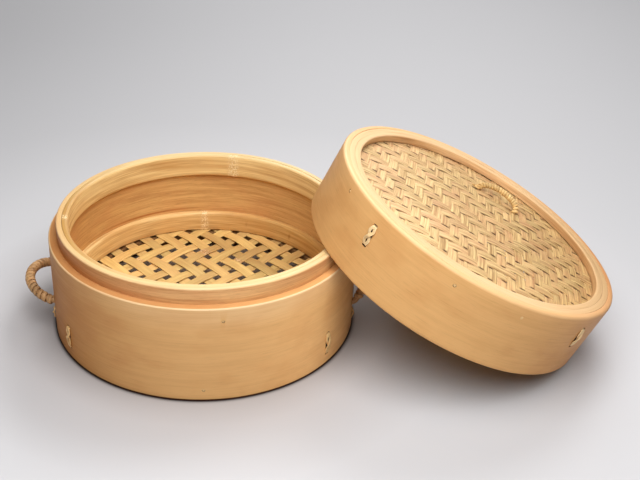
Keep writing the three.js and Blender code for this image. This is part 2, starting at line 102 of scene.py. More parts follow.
# Small pegs that the visual model adds: heading and height
BASKET_PEGS = ((-84.4, 11.5), (-77.6, 85.0), (20, 50), (140, 60))
LID_SMALL_PEGS = ((-105.7, 58.0), (-157.5, 58.6), (-20, 58), (110, 58.3), (175, 58))
# Bamboo nodes on the hoops: heading, half width and height. Small dents: heading, half width and level.
UPPER_NODES = ((83.4, 6.5, 0.35), (-169.5, 5.0, 0.35))
LOWER_NODES = ((97.5, 4.6, 0.3),)
LOWER_DENTS = ((79.5, 2.0, 34.5), (76.4, 1.2, 30.5), (52.0, 1.5, 31.0))

AXIS = Vector((sum(corner[i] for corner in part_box("outer_band")) / 2 * TO_MM for i in range(3)))
AXIS.z = 0
crossing = LEAN_BITE - LID_SKIRT_R
LEAN = asin((LIP_TOP + LEAN_GAP) / (OUTER_R - crossing))
lid_x = sqrt(LIP_R ** 2 - (LID_SKIRT_R ** 2 - crossing ** 2)) - crossing * cos(LEAN)
BASKET = Matrix.Translation(AXIS)
LID = BASKET @ Matrix.Translation((lid_x, 0, OUTER_R * sin(LEAN))) @ Matrix.Rotation(LEAN, 4, "Y")


def in_scene(name, data):
    """A new object in the scene. data is its mesh, camera or light."""
    obj = bpy.data.objects.new(name, data)
    bpy.context.scene.collection.objects.link(obj)
    return obj


def about_z(heading):
    return Matrix.Rotation(radians(heading), 4, "Z")


def turned(heading):
    """The level direction at a heading."""
    return Vector((cos(radians(heading)), sin(radians(heading)), 0))


def clamp(value):
    return min(1, max(0, value))


def angle_gap(angle, heading):
    """From a heading in degrees to an angle in radians, the short way round."""
    return remainder(angle - radians(heading), 2 * pi)


def fall_off(angle, middle, reach):
    """1 at one heading, falling smoothly to 0 at reach degrees from it."""
    gap = abs(angle_gap(angle, middle)) / radians(reach)
    return 0.5 + 0.5 * cos(pi * min(gap, 1))


# Camera, at the photograph's viewing angle
cam = in_scene("camera", bpy.data.cameras.new("camera"))
cam.location = (-0.01156448, -0.82453391, 0.55287161)
cam.rotation_euler = [radians(a) for a in (60.51259221, -2.76975644, 0.73268918)]
cam.data.sensor_width = 36
cam.data.lens = 53.7302
cam.data.clip_end = 50
bpy.context.scene.camera = cam
bpy.context.scene.view_settings.view_transform = "Standard"


# Materials. Every mesh carries "grain", a point whose first two values run along the fibres and whose
# third runs across them, "depth", the other way across, and "tone", one value for each strip or band; on
# the basket's wall the tone also rises toward its lit right front, which is painted light. Its other layers
# say from 0 to 1 where a tint or a speckle shows. Among them are painted shade on the sides away from the
# lamps, painted shadow on the walls of holes and at the foot, and one for the bamboo's own marks at nodes
# and the painted shadow in the mat's slits.
def srgb(r, g, b):
    """A colour as it should look on screen, 0 to 255, as the linear value that nodes use."""
    def lin(c):
        c /= 255
        return c / 12.92 if c <= 0.04045 else ((c + 0.055) / 1.055) ** 2.4
    return (lin(r), lin(g), lin(b), 1)


def add_node(tree, kind, inputs=None, **settings):
    """A new shader node. inputs has a value or another node's output for each socket's name or number."""
    node = tree.nodes.new("ShaderNode" + kind)
    for key, value in settings.items():
        setattr(node, key, value)
    for key, value in (inputs or {}).items():
        if hasattr(value, "is_output"):
            tree.links.new(value, node.inputs[key])
        else:
            node.inputs[key].default_value = value
    return node


MIX_FACTOR, MIX_A, MIX_B, MIX_RESULT = 0, 6, 7, 2  # sockets of a Mix node that mixes colours
NOISE_ROUGHNESS = 0.6
PORE_DARKNESS = 0.45
FIBRE_RELIEF = 0.0004  # metres


def fibre_material(name, pale, deep, blush, *, along, across, streak, rough=0.5, bump=0.2, tone_shift=0.0,
                   blotch=0.02, pores=0.0, edge_colour=None, weights=(0.55, 0.45), tints=(), speckle=None):
    """Fibres in two colours with blotches of a third.

    along and across are the noise's scales per millimetre, blotch that of the blotches, and weights the
    shares of broad and fine fibres. streak, bump, tone_shift and pores say how strongly each shows.
    tints are pairs of a layer and its tint, and speckle is the pale and the dark colour of a node's dots.
    """
    mat = bpy.data.materials.new(name)
    mat.use_nodes = True
    tree = mat.node_tree
    surface = tree.nodes["Principled BSDF"]
    pale, deep, blush = srgb(*pale), srgb(*deep), srgb(*blush)

    def layer(name, output="Fac"):
        return add_node(tree, "Attribute", attribute_name=name).outputs[output]

    def maths(operation, a, b):
        return add_node(tree, "Math", {0: a, 1: b}, operation=operation).outputs[0]

    def times(a, b):
        return maths("MULTIPLY", a, b)

    def ramp(value, low, high):
        limits = {"Value": value, "From Min": low, "From Max": high}
        return add_node(tree, "MapRange", limits, interpolation_type="SMOOTHSTEP").outputs["Result"]

    def mix(factor, a, b, blend="MIX"):
        inputs = {MIX_FACTOR: factor, MIX_A: a, MIX_B: b}
        node = add_node(tree, "Mix", inputs, data_type="RGBA", blend_type=blend)
        return node.outputs[MIX_RESULT]

    grain = layer("grain", "Vector")
    depth = layer("depth")
    tone = layer("tone")

    def fibre(scale_along, scale_across, detail):
        """Noise that is drawn out along the fibres."""
        scales = {0: grain, 1: (scale_along, scale_along, scale_across)}
        stretched = add_node(tree, "VectorMath", scales, operation="MULTIPLY").outputs[0]
        settings = {"Vector": stretched, "W": times(depth, scale_across), "Scale": 1.0, "Detail": detail,
                    "Roughness": NOISE_ROUGHNESS}
        return add_node(tree, "TexNoise", settings, noise_dimensions="4D").outputs["Fac"]

    broad = fibre(along, across * 0.22, detail=3.0)
    fine = fibre(along * 2.2, across * 1.6, detail=4.0)
    cloud = fibre(blotch, blotch * 1.6, detail=2.0)
    both = maths("ADD", times(broad, weights[0]), times(fine, weights[1]))
    streaks = ramp(both, low=0.36, high=0.66)
    colour = mix(times(streaks, streak), pale, deep)
    colour = mix(times(ramp(cloud, low=0.38, high=0.72), 0.45), colour, blush)
    shade = maths("ADD", 1 - tone_shift / 2, times(tone, tone_shift))
    grey = add_node(tree, "CombineColor", {0: shade, 1: shade, 2: shade}).outputs[0]
    colour = mix(1.0, colour, grey, "MULTIPLY")
    if pores:
        dots = ramp(fibre(along * 9, across * 2.4, detail=1.0), low=0.6, high=0.7)
        colour = mix(times(dots, pores), colour, (*(c * PORE_DARKNESS for c in deep[:3]), 1))
    # The paler upper edge: partly the wood's worn edge, partly painted highlight.
    if edge_colour:
        pale_edge = mix(times(streaks, 0.5), srgb(*edge_colour), colour)
        colour = mix(layer("edge"), colour, pale_edge)
    for where, tint in tints:
        colour = mix(layer(where), colour, (*tint, 1), "MULTIPLY")
    if speckle:
        pale_dot, dark_dot = speckle
        mark = layer("mark")
        pale_spots = ramp(fibre(0.9, 0.7, detail=2.0), low=0.48, high=0.56)
        dark_spots = ramp(fibre(1.3, 0.8, detail=2.0), low=0.58, high=0.66)
        colour = mix(times(times(mark, pale_spots), 0.85), colour, srgb(*pale_dot))
        colour = mix(times(times(mark, dark_spots), 0.6), colour, srgb(*dark_dot))
    tree.links.new(colour, surface.inputs["Base Color"])
    spread = times(maths("SUBTRACT", fine, 0.5), 0.3)
    tree.links.new(maths("ADD", spread, rough), surface.inputs["Roughness"])
    relief = add_node(tree, "Bump", {"Strength": bump, "Distance": FIBRE_RELIEF, "Height": fine})
    tree.links.new(relief.outputs["Normal"], surface.inputs["Normal"])
    surface.inputs["Specular IOR Level"].default_value = 0.22
    return mat


# Painted shadow: a near-black tint on the walls of holes, at the foot of the basket's wall and low inside its
# lip band.
PAINTED_SHADOW = ("painted_shadow", (0.1, 0.05, 0.03))
# Wall wood: its first tint, darker and deeper at the left, is painted shade; tone_shift makes the lit right
# front paler, which is painted light; its second tint darkens and reddens the ledge under the lip.
WALL = fibre_material(
    "wall_wood", (229, 179, 117), (200, 144, 87), (213, 154, 94), along=0.008, across=0.5, streak=0.36,
    bump=0.10, tone_shift=0.6, blotch=0.03, edge_colour=(238, 208, 164), pores=0.1,
    tints=(("painted_shade", (0.7, 0.47, 0.21)), ("inside", (0.76, 0.63, 0.58)), PAINTED_SHADOW))
# Lid wood: its first tint darkens it toward the lid's lower end, which is painted shade.
LID_WALL = fibre_material(
    "lid_wood", (229, 177, 114), (202, 148, 86), (210, 151, 90), along=0.008, across=0.5, streak=0.4,
    rough=0.48, bump=0.10, blotch=0.03, pores=0.12, edge_colour=(234, 192, 142),
    tints=(("painted_shade", (0.76, 0.58, 0.47)), PAINTED_SHADOW))
# Rim wood: its second tint darkens it toward the lid's lower end, which is painted shade.
RIM = fibre_material(
    "rim_wood", (238, 196, 144), (180, 126, 76), (220, 172, 122), along=0.010, across=1.0, streak=0.9,
    rough=0.48, bump=0.15, edge_colour=(232, 192, 144),
    tints=(("inside", (1.0, 1.02, 1.04)), ("painted_shade", (0.76, 0.72, 0.64)), PAINTED_SHADOW))
# Lip wood: its first tint makes the outer face darker and redder at the left, which is painted shade.
LIP = fibre_material(
    "lip_wood", (234, 186, 126), (190, 132, 80), (220, 156, 104), along=0.012, across=1.0, streak=0.85,
    rough=0.45, bump=0.15, edge_colour=(226, 196, 146), pores=0.3,
    tints=(("painted_shade", (0.72, 0.41, 0.14)), ("inside", (0.92, 0.94, 0.84)), ("stain", (0.6, 0.34, 0.2)), PAINTED_SHADOW))
# Hoop bamboo: its first tint is painted shade, on the upper hoop's top at the left and on the lower hoop
# toward the right back.
HOOP = fibre_material(
    "hoop_bamboo", (250, 218, 154), (194, 142, 80), (231, 183, 117), along=0.010, across=1.0, streak=0.9,
    rough=0.42, edge_colour=(222, 192, 138),
    tints=(("painted_shade", (0.66, 0.5, 0.3)), ("dent", (0.6, 0.42, 0.3)), PAINTED_SHADOW),
    speckle=((250, 226, 178), (140, 92, 48)))
# A darker copy of the hoop bamboo for the foot hoop under the floor: painted shade.
SHADED_FOOT = fibre_material(
    "shaded_foot_bamboo", (150, 108, 66), (112, 76, 44), (132, 92, 54), along=0.006, across=0.9, streak=0.75,
    tints=(PAINTED_SHADOW,))
STRIP = fibre_material(
    "strip_bamboo", (220, 186, 118), (184, 142, 80), (204, 154, 100), along=0.02, across=0.9, streak=0.7,
    bump=0.25, tone_shift=0.3, tints=(("mark", (0.8, 0.66, 0.6)),),
    speckle=((232, 196, 150), (96, 58, 34)))
# Mat bamboo: its first tint darkens it toward the lid's lower end, which is painted shade; its near-black
# second tint is painted shadow in the slits at the floats' ends.
MAT = fibre_material(
    "mat_bamboo", (235, 205, 149), (154, 110, 66), (220, 164, 126), along=0.018, across=2.5, streak=0.85,
    weights=(0.75, 0.25), bump=0.35, tone_shift=0.22, pores=0.4, blotch=0.03,
    tints=(("painted_shade", (0.8, 0.74, 0.63)), ("mark", (0.1, 0.04, 0.01))))
CANE = fibre_material(
    "cane", (234, 200, 138), (164, 116, 60), (212, 166, 102), along=0.05, across=0.9, streak=0.7, rough=0.4,
    bump=0.25, tone_shift=0.4)
# Darker copies of the cane and the split cane, used on the basket.
DARK_CANE = fibre_material(
    "dark_cane", (206, 164, 114), (146, 100, 60), (178, 128, 82), along=0.05, across=0.9, streak=0.8,
    rough=0.42, bump=0.3, tone_shift=0.5)
SPLIT_CANE = {"along": 0.05, "across": 1.2, "streak": 0.6, "rough": 0.45, "tone_shift": 0.15}
THREAD = fibre_material("thread_cane", (250, 220, 168), (214, 170, 112), (232, 192, 134), **SPLIT_CANE)
DARK_THREAD = fibre_material("dark_thread_cane", (246, 204, 140), (206, 154, 92), (226, 176, 112), **SPLIT_CANE)
PEG = fibre_material(
    "peg_bamboo", (236, 200, 144), (206, 160, 104), (222, 180, 122), along=0.4, across=1.2, streak=0.5)


# Meshes
def fix_normals(mesh):
    bm = bmesh.new()
    bm.from_mesh(mesh)
    bmesh.ops.recalc_face_normals(bm, faces=bm.faces)
    bm.to_mesh(mesh)
    bm.free()


def cut(mesh, cutters):
    """The mesh less the cutters, which are closed meshes in the same frame."""
    obj = in_scene("cut", mesh)
    tool = bpy.data.collections.new("cutters")
    bpy.context.scene.collection.children.link(tool)
    for cutter in cutters:
        tool.objects.link(bpy.data.objects.new("cutter", cutter))
    mod = obj.modifiers.new("cut", "BOOLEAN")
    mod.operation = "DIFFERENCE"
    mod.operand_type = "COLLECTION"
    mod.collection = tool
    mod.solver = "EXACT"
    result = bpy.data.meshes.new_from_object(obj.evaluated_get(bpy.context.evaluated_depsgraph_get()))
    for item in list(tool.objects):
        bpy.data.objects.remove(item)
    bpy.data.collections.remove(tool)
    bpy.data.objects.remove(obj)
    return result


class Shape:
    """Points with their fibre coordinates, and faces, that become one object."""

    def __init__(self):
        self.verts, self.faces, self.grain, self.depth, self.tone = [], [], [], [], []
        self.mark, self.painted_shade = [], []

    def add(self, point, grain=(0, 0, 0), depth=0.0, tone=0.5, mark=0.0, painted_shade=0.0):
        self.verts.append(Vector(point))
        self.grain.append(tuple(grain))
        self.depth.append(depth)
        self.tone.append(tone)
        self.mark.append(mark)
        self.painted_shade.append(painted_shade)
        return len(self.verts) - 1

    def skin(self, rows, closed=False):
        """Joins rows of point numbers, each with the same count, into a tube."""
        n = len(rows[0])
        last = len(rows) if closed else len(rows) - 1
        for i in range(last):
            a, b = rows[i], rows[(i + 1) % len(rows)]
            for j in range(n):
                k = (j + 1) % n
                self.faces.append((a[j], a[k], b[k], b[j]))
        if not closed:
            self.faces.append(tuple(reversed(rows[0])))
            self.faces.append(tuple(rows[-1]))

    def build(self, name, place, material, body, replaces=(), slot=None, sharp=40, cutters=()):
        """Makes the object. place takes the shape into the scene, and sharp is the angle of a sharp edge."""
        mesh = bpy.data.meshes.new(name)
        mesh.from_pydata([tuple(v) for v in self.verts], [], self.faces)
        fix_normals(mesh)
        if cutters:
            mesh = cut(mesh, cutters)
        self.write_layers(mesh)
        mesh.transform(Matrix.Scale(TO_M, 4) @ place)
        mesh.materials.append(material)
        for poly in mesh.polygons:
            poly.use_smooth = True
        mesh.set_sharp_from_angle(angle=radians(sharp))
        obj = in_scene(name, mesh)
        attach(obj, body)
        if replaces:
            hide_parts(*replaces)

    def write_layers(self, mesh):
        grain = mesh.attributes.new("grain", "FLOAT_VECTOR", "POINT")
        grain.data.foreach_set("vector", [c for g in self.grain for c in g])
        for name in ("depth", "tone", "mark", "painted_shade"):
            mesh.attributes.new(name, "FLOAT", "POINT").data.foreach_set("value", getattr(self, name))


# Bands and hoops
RING_LAYERS = ("depth", "tone", "mark", "painted_shade", "edge", "inside", "painted_shadow", "dent", "stain")
UNEVEN = 0.25  # how far a bent band wavers, in millimetres
# Levels over the floor where the painted contact shadow on the wall's foot is full and where it ends
FOOT_SHADOW_LEVELS = (1.3, 1.7)
NODE_SHARPNESS = 0.35  # a node's swelling is narrower than its speckled patch
DENT_TALL = 1.2
STAIN_REACH = 0.8
LEDGE_IN = 1.35  # from the outside of the basket's wall to where its upper edge turns level
HIDDEN_IN, HIDDEN_UP = 0.4, 3.5  # a slot's walls get painted shade from this far inside the wood
# Painted shadow at the wall's foot (its fade, and how far in from the outside it reaches) and low inside the
# lip band (how far in, how high, how dark)
FOOT_SHADOW_FADE, FOOT_SHADOW_DEEP = 0.4, 4.5
LIP_FOOT_DEEP, LIP_FOOT_TALL, LIP_FOOT_SHADOW = 7, 3, 0.55
# Where a colour shows most and how far it reaches: heading and degrees. The first two are painted light on
# the basket wall's lit right front and on its ledge there; the third is a stain.
LIGHT_SIDE, LEDGE_LIT, STAINED = (-33, 48), (-40, 75), (126, 42)


def wave(angle, seed, size):
    """A slow unevenness round a hoop, the same at 0 and 360 degrees."""
    total = 0.0
    for k in (2, 3, 5, 7):
        total += sin(k * angle + seed * (k + 1.7)) / k
    return size * total


class Ring(Shape):
    """A bent band. rounds: bottom outer, top outer, top inner and bottom inner corner radii.

    kind is "wall", "lip" or "upper" for the bands with colours of their own. shade says how much painted
    shade darkens the colour at an angle, pale_top is the height of the paler upper edge, which is partly the
    wood's worn edge and partly painted highlight, and stain a streak's level.
    """

    def __init__(self, inner, outer, bottom, top, rounds, seed, kind="", segments=256, nodes=(), dents=(),
                 shade=None, pale_top=1.3, stain=0.0):
        super().__init__()
        self.inner, self.outer, self.bottom, self.top = inner, outer, bottom, top
        self.middle = (inner + outer) / 2
        self.kind, self.nodes, self.dents = kind, nodes, dents
        self.shade, self.pale_top, self.stain = shade, pale_top, stain
        section = self.section(rounds)
        rows = []
        for i in range(segments):
            a = 2 * pi * i / segments
            row = []
            for r, z in section:
                dr = wave(a, seed, UNEVEN * 0.6)
                dz = wave(a, seed + 3, UNEVEN) if z > (top + bottom) / 2 else 0.0
                for heading, half_width, height in nodes if r < self.middle else ():
                    gap = angle_gap(a, heading) * r
                    dr -= height * exp(-(gap / (half_width * NODE_SHARPNESS)) ** 2)
                row.append(self.add(((r + dr) * cos(a), (r + dr) * sin(a), z + dz)))
            rows.append(row)
        self.skin(rows, closed=True)

    def section(self, rounds):
        """Radius and height of each point round the band's section."""
        inner, outer, bottom, top, stain = self.inner, self.outer, self.bottom, self.top, self.stain
        points = []
        corners = ((outer, bottom, -90), (outer, top, 0), (inner, top, 90), (inner, bottom, 180))
        for (r, z, start), size in zip(corners, rounds):
            cx = r - size if r == outer else r + size
            cz = z + size if z == bottom else z - size
            steps = 5 if size > 1 else 3
            for i in range(steps + 1):
                a = radians(start + 90 * i / steps)
                points.append((cx + size * cos(a), cz + size * sin(a)))
            if r == outer and z == bottom:
                # Extra points where the painted contact shadow on the wall's foot fades out
                points += [(outer, bottom + level) for level in FOOT_SHADOW_LEVELS]
                points += [(outer, bottom + (top - bottom) * f) for f in (0.25, 0.5, 0.75)]
            if r == inner and z == top:
                levels = [top + (bottom - top) * f for f in (0.25, 0.5, 0.75)]
                levels += [stain + 4, stain + 2, stain, stain - 2] if stain else []
                points += [(inner, level) for level in sorted(levels, reverse=True)]
        return points

    def write_layers(self, mesh):
        mesh.attributes.new("grain", "FLOAT_VECTOR", "POINT")
        for name in RING_LAYERS:
            mesh.attributes.new(name, "FLOAT", "POINT")
        grain = mesh.attributes["grain"].data
        layers = [mesh.attributes[name].data for name in RING_LAYERS]
        for i, v in enumerate(mesh.vertices):
            r = hypot(v.co.x, v.co.y) or 1
            grain[i].vector = (v.co.x / r * OUTER_R, v.co.y / r * OUTER_R, v.co.z)
            for layer, value in zip(layers, self.colouring(r, atan2(v.co.y, v.co.x), v.co.z)):
                layer[i].value = value

    def colouring(self, r, angle, z):
        """The value of each of RING_LAYERS at a point."""
        wall, lip = self.kind == "wall", self.kind == "lip"
        inside = r < self.middle
        ledge = wall and r < self.outer - LEDGE_IN
        on_top = ledge and z > self.top - 1
        # On the wall, tone rises toward its lit right front, less on the ledge: painted light.
        tone = 0.5 + fall_off(angle, *LIGHT_SIDE) * (0.15 if on_top else 0.5) if wall else 0.5
        # The paler upper edge, partly worn wood and partly painted highlight
        edge = 0.0
        if self.pale_top and not ledge:
            edge = clamp((z - self.top + self.pale_top) / (0.75 * self.pale_top))
        # Painted shade from shade: on the upper hoop only on its top; on the wall and the lip band less on
        # their upper edges, and only a little on the ledge and the inward faces.
        painted_shade = self.shade(angle) if self.shade else 0.0
        if self.kind == "upper":
            painted_shade *= edge
        elif wall or lip:
            painted_shade *= 0.3 if ledge or inside else 1 - 0.8 * edge
        # On the wall's ledge the inner tint darkens and reddens the step under the lip; it is weaker toward
        # the lit right front, which is painted light.
        inner_tint = 0.85 - 0.5 * fall_off(angle, *LEDGE_LIT) if on_top else 1.0 if inside or ledge else 0.0
        at_stain = self.stain and inside and abs(z - self.stain) < STAIN_REACH
        stain = fall_off(angle, *STAINED) if at_stain else 0.0
        # Painted shadow: at the foot of the wall, low inside the lip band, and on the walls of holes cut into
        # a band.
        foot = 0.0
        if wall and r > self.outer - FOOT_SHADOW_DEEP:
            foot = clamp((FOOT_SHADOW_LEVELS[1] - z) / FOOT_SHADOW_FADE)
        at_lip_foot = lip and r < LOWER_HOOP_INSIDE + LIP_FOOT_DEEP and z < LIP_FOOT_TALL
        below = LIP_FOOT_SHADOW if at_lip_foot else 0.0
        hidden = (self.inner + HIDDEN_IN < r < self.outer - HIDDEN_IN
                  and self.bottom + HIDDEN_UP < z < self.top - HIDDEN_UP)

        def patch(heading, half_width):
            return exp(-(angle_gap(angle, heading) * OUTER_R / half_width) ** 4)

        mark = max((patch(heading, half_width) for heading, half_width, _ in self.nodes), default=0.0)
        dent = max((patch(heading, half_width) * exp(-((z - level) / DENT_TALL) ** 2)
                    for heading, half_width, level in self.dents), default=0.0)
        return r, tone, mark, painted_shade, edge, inner_tint, 1.0 if hidden else max(foot, below), dent, stain


# Cutters for the holes in the bands, from inside the inmost hoop to outside the walls. They have extra points
# just below the outer face, so that a hole's wall gets painted shade from there inward.
CUT_NEAR, CUT_FAR = 120, 160
SLOT_HALF, SLOT_TALL, SLOT_ROUND, SLOT_DARK_IN = 2.7, 1.3, 1.2, 0.9
PEG_HOLE_DEEP, PEG_DARK_IN = 2, 0.6
HANDLE_HOLE_HALF, HANDLE_HOLE_TALL, HANDLE_HOLE_NEAR, HANDLE_HOLE_DARK = 4.2, 4.6, 134, 146.0
GROOVE_OVER = 0.6  # how far a groove goes on past its slots
ALMOST = 0.01  # keeps a round end from having a flat of no length
ROUND_STEPS = 6


def block(heading, near, far, half_width, low, high, rounded=0.0, between=()):
    """A box, with round ends where rounded says so, at a heading. between: distances of extra points."""
    outline = [(-half_width, low), (half_width, low), (half_width, high), (-half_width, high)]
    if rounded:
        outline = []
        middle, half_tall = (low + high) / 2, (high - low) / 2
        for cx, start in ((half_width - rounded, -90), (-(half_width - rounded), 90)):
            for i in range(ROUND_STEPS + 1):
                a = radians(start + 180 * i / ROUND_STEPS)
                outline.append((cx + rounded * cos(a), middle + half_tall * sin(a)))
    n = len(outline)
    depths = (near, *between, far)
    verts = [(x, y, z) for x in depths for y, z in outline]
    faces = [tuple(reversed(range(n))), tuple(range(n * (len(depths) - 1), n * len(depths)))]
    faces += [(k * n + i, k * n + (i + 1) % n, (k + 1) * n + (i + 1) % n, (k + 1) * n + i)
              for k in range(len(depths) - 1) for i in range(n)]
    mesh = bpy.data.meshes.new("block")
    mesh.from_pydata(verts, [], faces)
    mesh.transform(about_z(heading))
    fix_normals(mesh)
    return mesh


def slots(headings, heights):
    """The flat holes that the strands go through."""
    return [block(h, CUT_NEAR, CUT_FAR, SLOT_HALF, z - SLOT_TALL, z + SLOT_TALL, rounded=SLOT_ROUND,
                  between=(OUTER_R - SLOT_DARK_IN,)) for h, z in zip(headings, heights)]


def grooves(headings, low, high, half=2.9, deep=0.8):
    """The shallow hollow that a tight stitch presses into the wood."""
    return [block(h, OUTER_R - deep, CUT_FAR, half, low - GROOVE_OVER, high + GROOVE_OVER,
                  rounded=half - ALMOST) for h in headings]


def peg_holes(places, radius=1.45):
    return [block(h, OUTER_R - PEG_HOLE_DEEP, CUT_FAR, radius, z - radius, z + radius,
                  rounded=radius - ALMOST, between=(OUTER_R - PEG_DARK_IN,)) for h, z in places]


def handle_holes():
    holes = []
    for heading in HANDLES.values():
        for side in (-1, 1):
            hole = block(0, HANDLE_HOLE_NEAR, CUT_FAR, HANDLE_HOLE_HALF, HANDLE_Z - HANDLE_HOLE_TALL,
                         HANDLE_Z + HANDLE_HOLE_TALL, rounded=4.19, between=(HANDLE_HOLE_DARK,))
            hole.transform(Matrix.Translation((0, side * HANDLE_SPAN / 2, 0)))
            hole.transform(about_z(heading))
            holes.append(hole)
    return holes


HANDLE_ANGLE = degrees(asin(HANDLE_SPAN / 2 / OUTER_R))
TIES = [heading + side * HANDLE_ANGLE for heading in HANDLES.values() for side in (-1, 1)]
STITCHES = list(LASHINGS) + TIES


def low_slots():
    return slots(STITCHES, [LASH_LOW] * len(STITCHES))


def high_slots():
    return slots(STITCHES, [LASH_HIGH] * len(LASHINGS) + [TIE_HIGH] * len(TIES))


def lid_slots():
    return slots(list(LID_LASHINGS) * 2, [LID_LOW] * len(LID_LASHINGS) + [LID_HIGH] * len(LID_LASHINGS))


def basket_shade(angle):
    """Painted shade: the wood is darker and deeper in colour at the left, away from the lamps."""
    return fall_off(angle, -165, 80)


# Painted shade: the lower hoop is darker toward the right back, and a little everywhere.
def lower_hoop_shade(angle):
    return 0.1 + 0.7 * fall_off(angle, 35, 80)


# Painted shade: the lid is darker toward its lower end, at heading 0.
def lid_shade(angle):
    return fall_off(angle, 0, 90)


Ring(WALL_INSIDE, OUTER_R, 0, SHOULDER, rounds=(0.7, 1.6, 0.3, 0.5), seed=1, kind="wall", shade=basket_shade,
     pale_top=2.2).build(
    "basket_outer_band", BASKET, WALL, "basket", ["outer_band"], "band_wood",
    cutters=low_slots() + high_slots() + handle_holes() + peg_holes(BASKET_PEGS)
    + grooves(LASHINGS, LASH_LOW, LASH_HIGH) + grooves(TIES, LASH_LOW, TIE_HIGH, half=2.3, deep=0.7))
Ring(LIP_INSIDE, LIP_R + 0.05, 0, LIP_TOP, rounds=(0.5, 1.5, 0.3, 0.5), seed=2, kind="lip",
     shade=basket_shade, stain=FLOOR_TOP + 25.0).build(
    "basket_lip_band", BASKET, LIP, "basket", ["inner_band"], "lip_wood", cutters=low_slots() + high_slots())
Ring(UPPER_HOOP_INSIDE, HOOP_R, UPPER_HOOP_LOW, LIP_TOP - 0.15, rounds=(0.6, 0.3, 2.2, 2.4), seed=3,
     kind="upper", segments=600, nodes=UPPER_NODES, shade=basket_shade).build(
    "basket_upper_hoop", BASKET, HOOP, "basket", ["upper_hoop"], "hoop_bamboo")
Ring(LOWER_HOOP_INSIDE, HOOP_R, FLOOR_TOP + 0.3, FLOOR_TOP + LOWER_HOOP_TALL, rounds=(0.5, 0.5, 3.2, 0.8),
     seed=4, segments=600, nodes=LOWER_NODES, dents=LOWER_DENTS, pale_top=0, shade=lower_hoop_shade).build(
    "basket_lower_hoop", BASKET, HOOP, "basket", ["lower_hoop"], "hoop_bamboo", cutters=high_slots())
Ring(LOWER_HOOP_INSIDE, HOOP_R, FOOT_HOOP_LOW, FLOOR_Z - 0.3, rounds=(0.5, 0.5, 0.5, 0.8), seed=5,
     pale_top=0).build(
    "basket_foot_hoop", BASKET, SHADED_FOOT, "basket", ["foot_hoop"], "hoop_bamboo", cutters=low_slots())


# Woven strips
STRIP_SECTION = (  # across from -1 to 1, and up from 0 to 1
    (-1, 0.5), (-1, 0.22), (-0.97, 0.06), (-0.9, 0), (-0.5, 0), (0, 0), (0.5, 0), (0.9, 0), (0.97, 0.06),
    (1, 0.22), (1, 0.5), (1, 0.78), (0.97, 0.94), (0.9, 1), (0.7, 1), (0.5, 1), (0.25, 1), (0, 1),
    (-0.25, 1), (-0.5, 1), (-0.7, 1), (-0.9, 1), (-0.97, 0.94), (-1, 0.78))
EDGE_FREE, EDGE_FADE = 6, 16  # a strip lies flat this far from the hoop, then rises over this length
AT_CROSSING = 0.75  # its height at a crossing, as a share of its full swing
FLAT_SWING = 0.72  # its swing at the hoop, as a share of its thickness
SLIT_LONG, SLIT_SHIFT = 1.7, 0.9
NODE_LONG, NODE_RISE = 1.6, 0.35
WIDTH_WAVER = 0.025
GRAIN_APART, DEPTH_APART = 37.0, 5.3  # keep the grain of one strip apart from the next one's


def slit_shadows(crossings, chance, rnd):
    """Painted shadow in the slits where a strip dives: distance along, and place and half width across from
    -1 to 1.
    """
    found = []
    for (s0, h0), (s1, h1) in zip(crossings, crossings[1:]):
        if chance and h0 != h1 and rnd.random() < chance:
            half = rnd.uniform(0.45, 0.75) if rnd.random() < 0.88 else 0.95
            side = rnd.choice((-0.55, -0.4, -0.2, 0.3, 0.5)) if half < 0.9 else 0
            found.append(((s0 + s1) / 2 + (SLIT_SHIFT if h1 > h0 else -SLIT_SHIFT), side, half))
    return found


def height_marks(crossings, lifts):
    """The heights, from about -1 to 1, that a strip's curve goes through."""
    marks = []
    for k, (s, h) in enumerate(crossings):
        if k and h == crossings[k - 1][1]:
            marks.append(((s + crossings[k - 1][0]) / 2, (1.0 if h else -1.0) * lifts[k]))
        marks.append((s, AT_CROSSING if h else -AT_CROSSING))
    return [(marks[0][0] - 30, marks[0][1])] + marks + [(marks[-1][0] + 30, marks[-1][1])]


def height_at(marks, s):
    """A smooth curve through the marks, read at one distance along the strip."""
    if s <= marks[0][0] or s >= marks[-1][0]:
        return marks[0][1] if s <= marks[0][0] else marks[-1][1]
    k = 1
    while marks[k][0] < s:
        k += 1
    (s0, h0), (s1, h1) = marks[k - 1], marks[k]
    before, after = marks[max(k - 2, 0)], marks[min(k + 1, len(marks) - 1)]
    m0 = (h1 - before[1]) / max(s1 - before[0], 1e-6) * (s1 - s0)
    m1 = (after[1] - h0) / max(after[0] - s0, 1e-6) * (s1 - s0)
    t = (s - s0) / (s1 - s0)
    return ((2 * t ** 3 - 3 * t ** 2 + 1) * h0 + (t ** 3 - 2 * t ** 2 + t) * m0
            + (3 * t ** 2 - 2 * t ** 3) * h1 + (t ** 3 - t ** 2) * m1)


